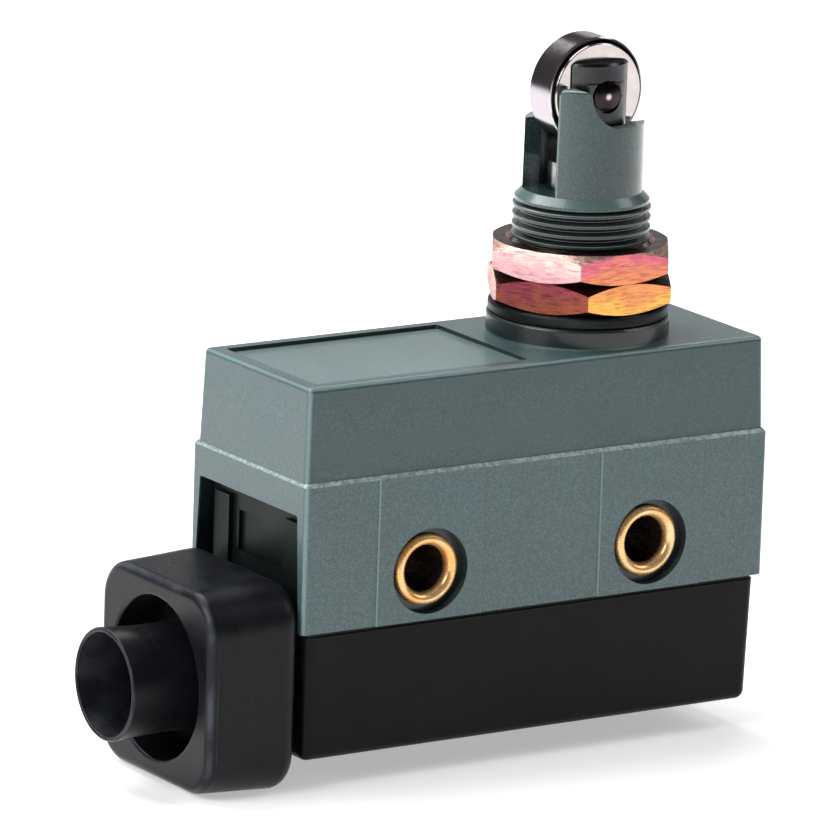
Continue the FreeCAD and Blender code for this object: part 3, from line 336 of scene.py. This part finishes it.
    def bump(self, height, depth_mm):
        """Raise the surface by up to depth_mm where height is 1, on top of earlier bumps."""
        made = self.node("ShaderNodeBump")
        made.inputs["Distance"].default_value = depth_mm * MM
        self.put(made.inputs["Height"], height)
        normal = self.shader.inputs["Normal"]
        if normal.is_linked:
            self.put(made.inputs["Normal"], normal.links[0].from_socket)
        self.put(normal, made.outputs["Normal"])


# ---- materials ----------------------------------------------------------------------

def enamel(name, dark, light, wear_and_highlight, smooth, rough, coat):
    """Enamel over a casting: fine orange peel, faint clouds, and edges that face up painted paler
    as a painted highlight with some wear.
    """
    finish = Finish(name, roughness=rough, Coat_Weight=coat, Coat_Roughness=0.14)
    clouds = finish.noise(7.0, 3.0)
    grain = finish.noise(0.16, 3.0)
    peel = finish.noise(0.5, 2.0)
    body = finish.blend(finish.spread(clouds, *MOST), linear(*dark), linear(*light))
    mottled = finish.blend(finish.spread(grain, 0.45, 0.72, 0.0, 0.32), body, linear(*wear_and_highlight))
    finish.colour(finish.blend(finish.spread(grain, 0.46, 0.3, 0.0, 0.34), mottled,
                               linear(*(value * 0.6 for value in dark))))
    # edges that face up are painted paler: a painted highlight of the light from above, with some
    # wear
    edge = finish.band(finish.facing(UP), (0.3, 0.55), (0.8, 0.95))
    finish.over(finish.times(edge, 0.6), linear(*wear_and_highlight))
    finish.roughness(finish.spread(clouds, *MOST, smooth, rough))
    finish.bump(grain, 0.02)
    finish.bump(peel, 0.02)
    return finish


def housing_paint():
    """The body's paint, with painted shade on its ends, its upper sides and in every recess,
    painted highlights on its upright corners and label, and a ledge pale with chips and a painted
    highlight.
    """
    finish = enamel("housing_paint", (60, 82, 84), (71, 94, 96), PAINT_WORN_AND_HIGHLIGHT, 0.3, 0.42, 0.3)
    # the upper body's front and back are painted darker: painted shade
    sides = finish.spread(finish.steepness("Y"), 0.9, 0.98, 0.0, 0.4)
    finish.over(finish.times(finish.inside(*UPPER_MM), sides), linear(*UPPER_PAINTED_SHADE))
    # both ends are painted darker: painted shade
    ends = finish.spread(finish.steepness("X"), 0.9, 0.98, 0.0, 0.3)
    finish.over(ends, linear(*END_PAINTED_SHADE))
    # the upright corners are painted paler: a painted highlight
    corner = finish.times(finish.steepness("X"), finish.steepness("Y"))
    finish.over(finish.spread(corner, 0.25, 0.48, 0.0, 0.5), linear(*PAINT_WORN_AND_HIGHLIGHT))
    # the housing inside each eyelet's recess is darkened: painted shade
    recess = finish.from_line((HOLE_X_MM, 0, 0), ROUND_Y, both_ways=True)
    finish.over(finish.spread_mm(recess, *RECESS_EDGE_MM, 0.92, 0.0), PAINTED_SHADE)
    # the boss under the head is darkened: painted shade
    boss = finish.spread_mm(finish.from_line((HEAD_X_MM, 0, 0), ROUND_Z), *BOSS_EDGE_MM, 0.97, 0.0)
    finish.over(finish.times(finish.spread_mm(finish.axis("Z"), *ABOVE_TOP_MM), boss), PAINTED_SHADE)
    # the notch's sides at the cable end are darkened: painted shade
    finish.over(finish.times(finish.inside(*NOTCH_SIDES_MM), 0.9), PAINTED_SHADE)
    # the label pocket is painted paler: a painted sheen
    finish.over(finish.times(finish.inside(*LABEL_MM), 0.3), linear(*LABEL_PAINTED_SHEEN))
    # the label pocket's upright walls are darkened: painted shade
    upright = finish.upward(0.2, 0.5, 0.9, 0.0)
    finish.over(finish.times(finish.inside(*LABEL_STEP_MM), upright), PAINTED_SHADE)
    # the ledge's chamfer is painted pale in patches: chips, and a painted highlight where it faces
    # up
    ledge = finish.times(finish.inside(*LEDGE_MM), finish.upward(0.3, 0.6))
    patchy = finish.spread(finish.noise(0.4, 3.0), 0.4, 0.62, 0.1, 0.8)
    finish.over(finish.times(ledge, patchy), linear(*LEDGE_CHIPS_AND_HIGHLIGHT))
    return finish.material


def head_paint():
    """The head's paint, with painted shade over the thread and deeper in its grooves, and its
    crests scuffed pale with a painted highlight.
    """
    finish = enamel("head_paint", (35, 54, 54), (47, 68, 68), (108, 132, 130), 0.2, 0.3, 0.6)
    reach = finish.from_line((HEAD_X_MM, 0, 0), ROUND_Z)
    threaded = finish.inside(*THREAD_MM)
    # the thread is darkened all over and more in its grooves: painted shade
    finish.over(finish.times(threaded, 0.7), PAINTED_SHADE)
    groove = finish.spread_mm(reach, *GROOVE_MM, 0.97, 0.0)
    finish.over(finish.times(threaded, groove), PAINTED_SHADE)
    # the crests' upper flanks are painted pale: wear, and a painted highlight from the light above
    crest = finish.times(threaded, finish.spread_mm(reach, *CREST_MM))
    upper_flank = finish.upward(0.2, 0.45, 0.0, 0.7)
    finish.over(finish.times(crest, upper_flank), linear(*CREST_WEAR_AND_HIGHLIGHT))
    # the guards' upward faces are painted pale: a painted highlight
    tops = finish.times(finish.inside(*GUARD_TOPS_MM), finish.upward(0.4, 0.8, 0.0, 0.55))
    finish.over(tops, linear(*GUARD_TOP_HIGHLIGHT))
    # two upright edges of the guards by the slot are painted paler
    for low, high in GUARD_EDGES_MM:
        finish.over(finish.times(finish.inside(low, high), 0.4), linear(*GUARD_EDGE_PALE))
    return finish.material


def cover_plastic():
    """Black moulded thermoset with a fine grain and faint scuffed patches."""
    finish = Finish("cover_plastic", roughness=0.34, Specular_IOR_Level=0.12)
    grain = finish.noise(0.16, 3.0)
    patches = finish.noise(6.0, 4.0)
    tone = finish.spread(patches, 0.35, 0.75)
    finish.colour(finish.blend(tone, linear(13, 11, 11), linear(24, 20, 20)))
    # the end wall in the notch is darkened: painted shade
    finish.over(finish.times(finish.inside(*TONGUE_MM), 0.95), PAINTED_SHADE)
    finish.roughness(finish.spread(patches, *MOST, 0.28, 0.44))
    finish.bump(grain, 0.008)
    return finish.material


def soft_rubber(name, dark, light, bloom_and_sheen, smooth, rough):
    """Black rubber, its gloss varying in clouds, with a faint pale film on its raised grain and a
    painted sheen where its faces round off towards the cable end.
    """
    finish = Finish(name, roughness=rough, Specular_IOR_Level=0.17, Sheen_Weight=0.02,
                    Sheen_Roughness=0.4)
    grain = finish.noise(0.1, 4.0)
    clouds = finish.noise(3.5, 4.0)
    body = finish.blend(finish.spread(clouds, *MOST), linear(*dark), linear(*light))
    dust = finish.spread(grain, 0.5, 0.85, 0.0, 0.4)
    finish.colour(finish.blend(dust, body, linear(*bloom_and_sheen)))
    # faces that round off towards the cable end are painted paler: a painted sheen
    edge_sheen = finish.band(finish.facing(CABLE_WARDS), (0.25, 0.6), (0.8, 0.97))
    finish.over(finish.times(edge_sheen, finish.spread(clouds, 0.4, 0.6, 0.1, 0.6)),
                linear(*(value * 1.5 for value in bloom_and_sheen)))
    finish.roughness(finish.spread(clouds, *MOST, smooth, rough))
    finish.bump(grain, 0.02)
    return finish.material


def boot_rubber():
    """The cable boot's and the nozzle's rubber, the glossier kind, with the painted sheen on its
    rounded front edges.
    """
    return soft_rubber("boot_rubber", (11, 11, 13), (21, 22, 26), (54, 57, 64), 0.24, 0.36)


def seal_rubber():
    """The seals' duller and blacker rubber."""
    return soft_rubber("seal_rubber", (8, 9, 9), (15, 16, 16), (40, 42, 42), 0.34, 0.48)


def metal(name, dark, light, smooth, rough, brush=(1, 1, 1), brush_mm=0.2, depth_mm=0.004):
    """Bare metal with brush marks drawn out along the axes where brush is small."""
    finish = Finish(name, metallic=1.0, roughness=rough)
    marks = finish.noise(brush_mm, 3.0, brush)
    clouds = finish.noise(2.8, 3.0)
    body = finish.blend(finish.spread(clouds, *MOST), linear(*dark), linear(*light))
    finish.colour(finish.blend(finish.spread(marks, *MOST, 0.0, 0.3), body, linear(*dark)))
    finish.roughness(finish.spread(marks, *MOST, smooth, rough))
    finish.bump(marks, depth_mm)
    return finish


def eyelet_brass():
    """Bright spun brass with turning marks round the lip, brown and darker down the hole and round
    the flange's outer rim as painted shade.
    """
    finish = metal("eyelet_brass", (250, 182, 104), (255, 226, 172), 0.16, 0.34, (1, 0.2, 1))
    finish.shader.inputs["Metallic"].default_value = 0.6
    # deeper in the hole the brass is darkened brown: painted shade
    depth = finish.maths("ABSOLUTE", finish.axis("Y"), 0.0)
    finish.over(finish.spread_mm(depth, *EYELET_DARK_MM, 1.0, 0.0), linear(*HOLE_PAINTED_SHADE))
    # the flange beyond the lip is darkened brown: painted shade where it meets the recess
    reach = finish.from_line((HOLE_X_MM, 0, 0), ROUND_Y, both_ways=True)
    finish.over(finish.spread_mm(reach, *EYELET_LIP_MM, 0.0, 0.9), linear(*RIM_PAINTED_SHADE))
    return finish.material


def nut_zinc(node, facet_tints_and_reflections, flat, chamfer_up_painted_light, chamfer_down_painted_shade):
    """Yellow-passivated zinc: each facet has its own tints, drawn into upright streaks, partly the
    zinc's own colours and partly painted reflections; the flat faces and chamfers are tinted as
    painted shade and painted highlight.
    """
    finish = Finish("nut_zinc_" + node, metallic=0.85, roughness=0.3)
    low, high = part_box(node)
    streaks = finish.noise(0.16, 3.0, (0.12, 0.12, 1))
    drift = finish.noise(3.0, 2.0, (1, 1, 0.7), 0.6)
    speckle = finish.noise(0.12, 3.0, (1, 1, 0.6))
    height = finish.spread(finish.axis("Z"), low.z, high.z)
    wavy = finish.maths("ADD", height, finish.spread(drift, *MOST, -0.35, 0.35))
    finish.colour(linear(*facet_tints_and_reflections[-1][1]))
    # each facet gets its own tints by the way it faces: partly the zinc's colour, partly painted
    # reflection
    for direction, below, above, fleck in facet_tints_and_reflections:
        tint = finish.blend(finish.spread(wavy, 0.25, 0.75), linear(*below), linear(*above))
        tint = finish.blend(finish.spread(streaks, 0.5, 0.68, 0.0, 0.5), tint, linear(*fleck))
        finish.over(finish.spread(finish.facing(direction), 0.8, 0.9), tint)
    # the chamfers and flat faces are coloured by which way they face: painted highlight on the
    # upper nut's top chamfer, painted shade on the rest
    pitted_and_lit = finish.blend(finish.spread(speckle, 0.48, 0.66), linear(*chamfer_up_painted_light),
                          linear(*CHAMFER_PITS))
    finish.over(finish.upward(0.12, 0.2), pitted_and_lit)
    finish.over(finish.upward(0.93, 0.99), linear(*flat))
    finish.over(finish.upward(-0.2, -0.12, 1.0, 0.0), linear(*chamfer_down_painted_shade))
    finish.roughness(finish.spread(streaks, *MOST, 0.22, 0.4))
    finish.bump(streaks, 0.02)
    finish.bump(speckle, 0.01)
    return finish.material


def roller_steel():
    """Ground steel, with concentric marks on its flat faces, a ring of painted shade at the step
    inside its rim, and its rim tinted darker as painted shade, with specks.
    """
    finish = metal("roller_steel", (204, 194, 192), (228, 218, 216), 0.1, 0.17, (1, 8, 1), 0.6)
    reach = finish.from_line((HEAD_X_MM, 0, ROLLER_Z_MM), ROUND_Y)
    # a dark ring at the step inside the rim: painted shade
    step = finish.band(reach, *(metres(ramp) for ramp in ROLLER_STEP_MM))
    finish.over(step, linear(*ROLLER_STEP_PAINTED_SHADE))
    # the rim is tinted darker all over: painted shade standing in for its dark reflections
    rim = finish.spread_mm(reach, *ROLLER_RIM_MM)
    finish.over(finish.times(rim, 0.9), linear(*ROLLER_RIM_PAINTED_SHADE))
    specks = finish.spread(finish.noise(0.14, 2.0), 0.64, 0.7, 0.0, 0.8)
    finish.over(finish.times(rim, specks), linear(*ROLLER_SPECKS))
    return finish.material


def plunger_steel():
    """Turned steel, its ears darker and with painted shade lining the flat band's edges."""
    finish = metal("plunger_steel", (120, 120, 122), (186, 186, 188), 0.16, 0.28, (1, 1, 6))
    # the ears are darker from their foot up
    ears = finish.spread_mm(finish.axis("Z"), *EAR_FOOT_MM, 0.0, 0.85)
    finish.over(ears, linear(*EAR_BLACK))
    outer = finish.spread_mm(finish.maths("ABSOLUTE", finish.axis("Y"), 0.0), *EAR_SIDE_MM)
    # two dark lines at the edges of the ears' flat band: painted shade
    for low, high in EAR_LINES_MM:
        finish.over(finish.times(outer, finish.inside(low, high)), linear(*EAR_LINE_PAINTED_SHADE))
    return finish.material


def pin_steel():
    """Blued steel with a painted highlight, a bright spot, at the middle of each domed end."""
    finish = metal("pin_steel", (44, 37, 42), (74, 64, 68), 0.12, 0.26)
    reach = finish.from_line((HEAD_X_MM, 0, ROLLER_Z_MM), ROUND_Y)
    # a bright spot at the middle of each domed end: painted highlight
    finish.over(finish.spread_mm(reach, *PIN_SPOT_MM, 0.9, 0.0), linear(*PIN_PAINTED_HIGHLIGHT))
    return finish.material


def spring_steel():
    """Spring steel, for the springs, the rings and the spring's retainer."""
    return metal("spring_steel", (110, 110, 114), (168, 168, 172), 0.25, 0.4).material


def screw_steel():
    """Plated steel, for the screws and the terminal clamps."""
    return metal("screw_steel", (140, 140, 142), (196, 196, 198), 0.2, 0.36).material


def terminal_brass():
    """Stamped brass, duller than the eyelets, for the terminals and the rod's guide."""
    return metal("terminal_brass", (168, 128, 62), (214, 176, 104), 0.22, 0.42).material


def blade_copper():
    """Rolled copper alloy, marked along the blade."""
    return metal("blade_copper", (168, 98, 62), (210, 138, 92), 0.2, 0.38, (0.2, 1, 1)).material


def contact_silver():
    """Silver, for the three contacts."""
    return metal("contact_silver", (170, 170, 166), (226, 226, 220), 0.18, 0.34).material


def switch_phenolic():
    """Brown thermoset flecked with its filler."""
    finish = Finish("switch_phenolic", roughness=0.48)
    flecks = finish.spread(finish.noise(0.35, 3.0), 0.5, 0.72)
    finish.colour(finish.blend(flecks, linear(58, 34, 26), linear(98, 62, 46)))
    finish.roughness(finish.spread(finish.noise(3.0), *MOST, 0.4, 0.58))
    finish.bump(finish.noise(0.2, 3.0), 0.01)
    return finish.material


def button_plastic():
    """Glossy red moulding with slight wear on its raised grain."""
    finish = Finish("button_plastic", roughness=0.25)
    wear = finish.spread(finish.noise(0.6, 3.0), 0.55, 0.75, 0.0, 0.4)
    finish.colour(finish.blend(wear, linear(168, 34, 28), linear(206, 92, 80)))
    finish.roughness(finish.spread(finish.noise(1.2), *MOST, 0.2, 0.38))
    finish.bump(finish.noise(0.3, 2.0), 0.006)
    return finish.material


# each is named after the record slot that it paints
MAKERS = (
    housing_paint, head_paint, cover_plastic, boot_rubber, seal_rubber, eyelet_brass,
    roller_steel, plunger_steel, pin_steel, spring_steel, screw_steel, switch_phenolic,
    button_plastic, terminal_brass, blade_copper, contact_silver,
)

CABLE_FACET = (-0.87, -0.5, 0)
FRONT_FACET = (0, -1, 0)
CABLE_BACK_FACET = (-0.87, 0.5, 0)
PLUNGER_FACET = (0.87, -0.5, 0)
PLUNGER_BACK_FACET = (0.87, 0.5, 0)
BACK_FACET = (0, 1, 0)

# node: (facet, tint at its foot, tint at its top, fleck), then flat faces and both chamfers; facet
# tints are partly the zinc's colours and partly painted reflections, and the flat faces and
# chamfers carry painted shade and the upper nut's painted highlight
NUT_TINTS = {
    "lock_nut_upper": ([
        (CABLE_FACET, (238, 182, 188), (246, 214, 204), (196, 96, 112)),
        (FRONT_FACET, (238, 150, 104), (226, 116, 140), (168, 62, 74)),
        (PLUNGER_FACET, (232, 170, 84), (214, 110, 120), (130, 60, 48)),
        (PLUNGER_BACK_FACET, (236, 178, 92), (240, 196, 120), (150, 78, 60)),
        (BACK_FACET, (226, 130, 116), (240, 190, 110), (140, 60, 60)),
        (CABLE_BACK_FACET, (196, 92, 96), (232, 160, 92), (110, 44, 44)),
    ], (58, 36, 26), (250, 206, 190), (46, 20, 14)),
    "lock_nut_lower": ([
        (CABLE_FACET, (154, 84, 58), (144, 64, 74), (56, 20, 20)),
        (FRONT_FACET, (250, 190, 96), (240, 158, 100), (186, 92, 62)),
        (PLUNGER_FACET, (224, 150, 80), (200, 96, 100), (120, 50, 40)),
        (PLUNGER_BACK_FACET, (232, 172, 90), (236, 190, 112), (146, 74, 54)),
        (BACK_FACET, (214, 112, 100), (238, 182, 102), (130, 54, 52)),
        (CABLE_BACK_FACET, (170, 76, 76), (214, 132, 78), (90, 34, 34)),
    ], (58, 36, 26), (60, 26, 18), (40, 18, 12)),
}


def paint_nodes():
    """Give every CAD node the finish of its record slot."""
    made = {maker.__name__: maker() for maker in MAKERS}
    for part in frame["record"]["subparts"]:
        node = part["node"]
        if node in NUT_TINTS:
            finish = nut_zinc(node, *NUT_TINTS[node])
        else:
            finish = made[part["material_slot"]]
        mesh = frame["nodes"][node].data
        mesh.materials.clear()
        mesh.materials.append(finish)
    return made


# ---- extra pieces -------------------------------------------------------------------

def rounded_square(half_y, half_z, corner):
    """(point, outward) pairs round a rounded rectangle in the YZ plane."""
    path = []
    for quarter in range(4):
        turn = math.pi / 2 * quarter
        for step in range(CORNER_STEPS + 1):
            angle = turn + math.pi / 2 * step / CORNER_STEPS
            outward = Vector((0, math.cos(angle), math.sin(angle)))
            side_y = math.copysign(half_y - corner, math.cos(turn + math.pi / 4))
            side_z = math.copysign(half_z - corner, math.sin(turn + math.pi / 4))
            path.append((Vector((0, side_y, side_z)) + outward * corner, outward))
    return path


def bead_loop(name, path, centre, radius):
    """A closed round bead that follows a loop of (point, outward) pairs across X."""
    mesh = bmesh.new()
    rings = []
    for point, outward in path:
        ring = []
        for side in range(BEAD_SIDES):
            angle = 2 * math.pi * side / BEAD_SIDES
            offset = outward * math.cos(angle) + Vector((math.sin(angle), 0, 0))
            ring.append(mesh.verts.new(centre + point + offset * radius))
        rings.append(ring)
    for ring, following in zip(rings, rings[1:] + rings[:1]):
        for side in range(BEAD_SIDES):
            beyond = (side + 1) % BEAD_SIDES
            mesh.faces.new((ring[side], ring[beyond], following[beyond], following[side]))
    bmesh.ops.recalc_face_normals(mesh, faces=mesh.faces)
    return new_object(name, mesh)


def new_object(name, mesh):
    """A smooth-shaded object from a finished bmesh."""
    for face in mesh.faces:
        face.smooth = True
    data = bpy.data.meshes.new(name)
    mesh.to_mesh(data)
    mesh.free()
    made = bpy.data.objects.new(name, data)
    bpy.context.scene.collection.objects.link(made)
    return made


def boot_seam(finishes):
    """The mould's parting line, a thin bead just behind the boot's front face."""
    low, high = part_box("cable_boot")
    half_y = (high.y - low.y) / 2 - SEAM_INSET_MM[0] * MM
    half_z = (high.z - low.z) / 2 - SEAM_INSET_MM[1] * MM
    path = rounded_square(half_y, half_z, SEAM_CORNER_MM * MM)
    centre = Vector((low.x + SEAM_BACK_MM * MM, 0, (low.z + high.z) / 2))
    seam = bead_loop("boot_seam", path, centre, SEAM_RADIUS_MM * MM)
    seam.data.materials.append(finishes["boot_rubber"])
    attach(seam, "enclosure")


# ---- studio and camera --------------------------------------------------------------

def floor_finish():
    """A pale matt floor with a faint glow that fades away from the object."""
    finish = Finish("floor", roughness=0.9, Emission_Color=(1.0, 1.0, 1.0, 1.0))
    finish.colour((FLOOR_GREY, FLOOR_GREY, FLOOR_GREY, 1.0))
    away = finish.from_line((0, 0, 0), EVERY_WAY)
    glow = finish.spread(away, *GLOW_FADES, FLOOR_GLOW, FAR_GLOW)
    finish.put(finish.shader.inputs["Emission Strength"], glow)
    return finish.material


def backdrop():
    """A pale floor that sweeps up behind the object, along the camera's heading."""
    floor_z = CAD_BOX[0].z
    profile = [Vector((0, -FLOOR_REACH, 0)), Vector((0, SWEEP_BACK, 0))]
    for step in range(1, SWEEP_STEPS + 1):
        angle = math.pi / 2 * step / SWEEP_STEPS
        rise = SWEEP_RADIUS * (1 - math.cos(angle))
        profile.append(Vector((0, SWEEP_BACK + SWEEP_RADIUS * math.sin(angle), rise)))
    profile.append(profile[-1] + Vector((0, 0, SWEEP_HEIGHT)))
    turn = Matrix.Rotation(math.radians(-HEADING), 4, "Z")
    mesh = bmesh.new()
    rows = []
    for point in profile:
        row = []
        for side in (-FLOOR_REACH, FLOOR_REACH):
            place = turn @ (point + Vector((side, 0, 0)))
            row.append(mesh.verts.new(place + Vector((0, 0, floor_z))))
        rows.append(row)
    for row, beyond in zip(rows, rows[1:]):
        mesh.faces.new((row[0], row[1], beyond[1], beyond[0]))
    sweep = new_object("floor", mesh)
    sweep.data.materials.append(floor_finish())


def direction_of(heading, elevation):
    """The unit vector towards a heading round the object and an elevation over it."""
    turn, rise = math.radians(heading), math.radians(elevation)
    flat = Vector((math.sin(turn), -math.cos(turn), 0)) * math.cos(rise)
    return flat + Vector((0, 0, math.sin(rise)))


def soft_light(name, heading, elevation, distance, side, power):
    """A square softbox that faces the middle of the object."""
    low, high = CAD_BOX
    target = (low + high) / 2
    light = bpy.data.lights.new(name, "AREA")
    light.shape = "SQUARE"
    light.size = side
    light.energy = power
    box = bpy.data.objects.new(name, light)
    towards = direction_of(heading, elevation)
    box.location = target + towards * distance
    box.rotation_euler = towards.to_track_quat("Z", "Y").to_euler()
    bpy.context.scene.collection.objects.link(box)


def studio():
    """The backdrop, the softboxes and an even pale surround."""
    backdrop()
    for name, values in LIGHTS.items():
        soft_light(name, *values)
    world = bpy.data.worlds.new("surround")
    world.use_nodes = True
    light = world.node_tree.nodes["Background"]
    light.inputs["Color"].default_value = (WORLD_GREY, WORLD_GREY, WORLD_GREY, 1.0)
    light.inputs["Strength"].default_value = WORLD_STRENGTH
    bpy.context.scene.world = world
    bpy.context.scene.view_settings.view_transform = "Standard"


def camera():
    """The camera at the viewing angle, a long lens well back from the object."""
    back = direction_of(-HEADING, ELEVATION)
    level = Vector((math.cos(math.radians(HEADING)), -math.sin(math.radians(HEADING)), 0))
    upright = back.cross(level)
    roll = math.radians(ROLL)
    right = level * math.cos(roll) + upright * math.sin(roll)
    up = upright * math.cos(roll) - level * math.sin(roll)
    data = bpy.data.cameras.new("camera")
    data.sensor_width = SENSOR
    data.lens = LENS
    data.clip_start, data.clip_end = CLIP
    place = back * DISTANCE + right * AIM_RIGHT_MM * MM + up * AIM_UP_MM * MM
    made = bpy.data.objects.new("camera", data)
    turn = Matrix((right, up, back)).transposed().to_4x4()
    made.matrix_world = Matrix.Translation(place) @ turn
    bpy.context.scene.collection.objects.link(made)
    bpy.context.scene.camera = made


finishes = paint_nodes()
boot_seam(finishes)
studio()
camera()
